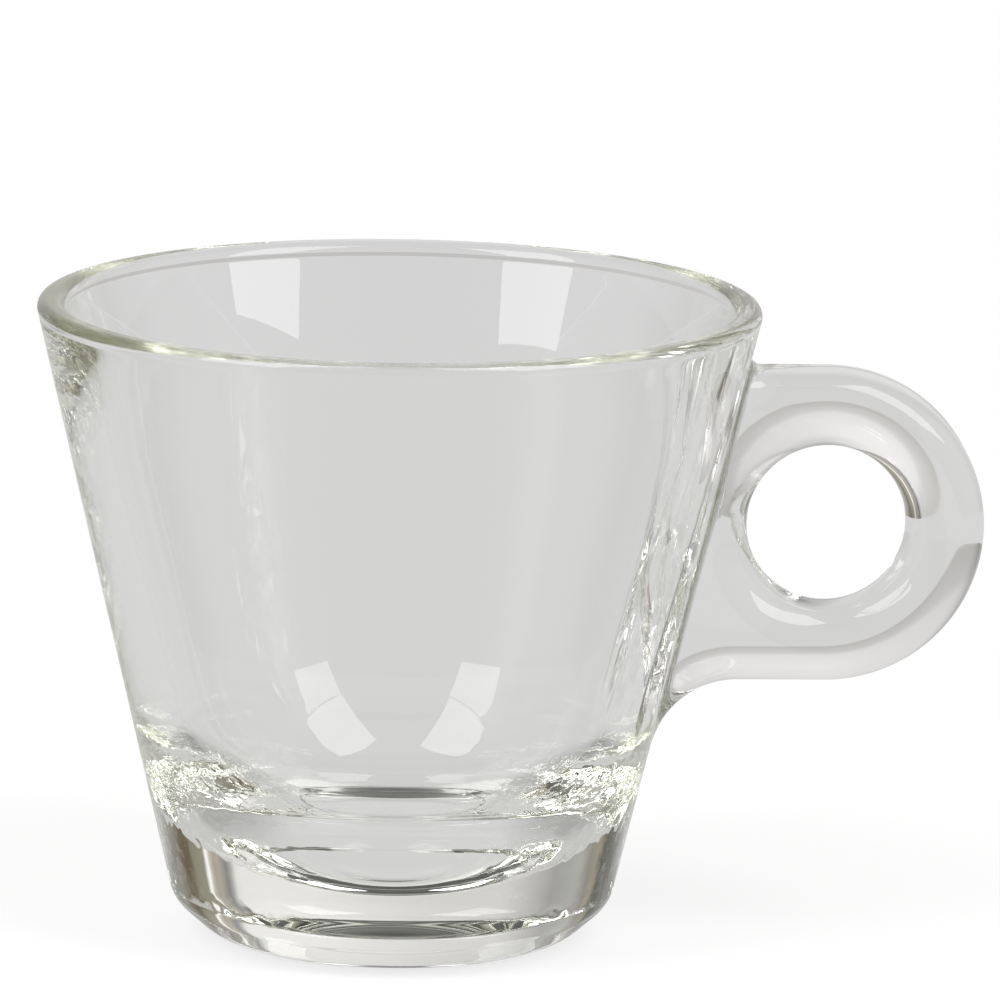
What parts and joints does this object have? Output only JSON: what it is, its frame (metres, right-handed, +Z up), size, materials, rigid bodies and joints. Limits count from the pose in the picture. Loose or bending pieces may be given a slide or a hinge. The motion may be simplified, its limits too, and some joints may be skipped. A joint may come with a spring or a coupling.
{
  "type": "espresso cup",
  "caption": "Clear glass espresso cup: conical body with a thick rounded floor, and a flat ring handle with a round finger hole on its wall.",
  "frame": {"origin": "centre of the base of the object's box, on the plane the foot stands on; the cup's axis is upright and 10.44 mm to -X of it", "axes": "+X from the cup towards the handle, +Y across the handle's flat faces, +Z up from the foot to the rim"},
  "size_m": [0.0868, 0.066, 0.059],
  "materials": {
    "body_glass": "clear pressed glass, glossy, faint green in thick edges",
    "handle_glass": "clear pressed glass, glossy, fire-polished round edges"
  },
  "bodies": {
    "root": {"cup_body": "body_glass", "handle": "handle_glass"}
  },
  "joints": []
}
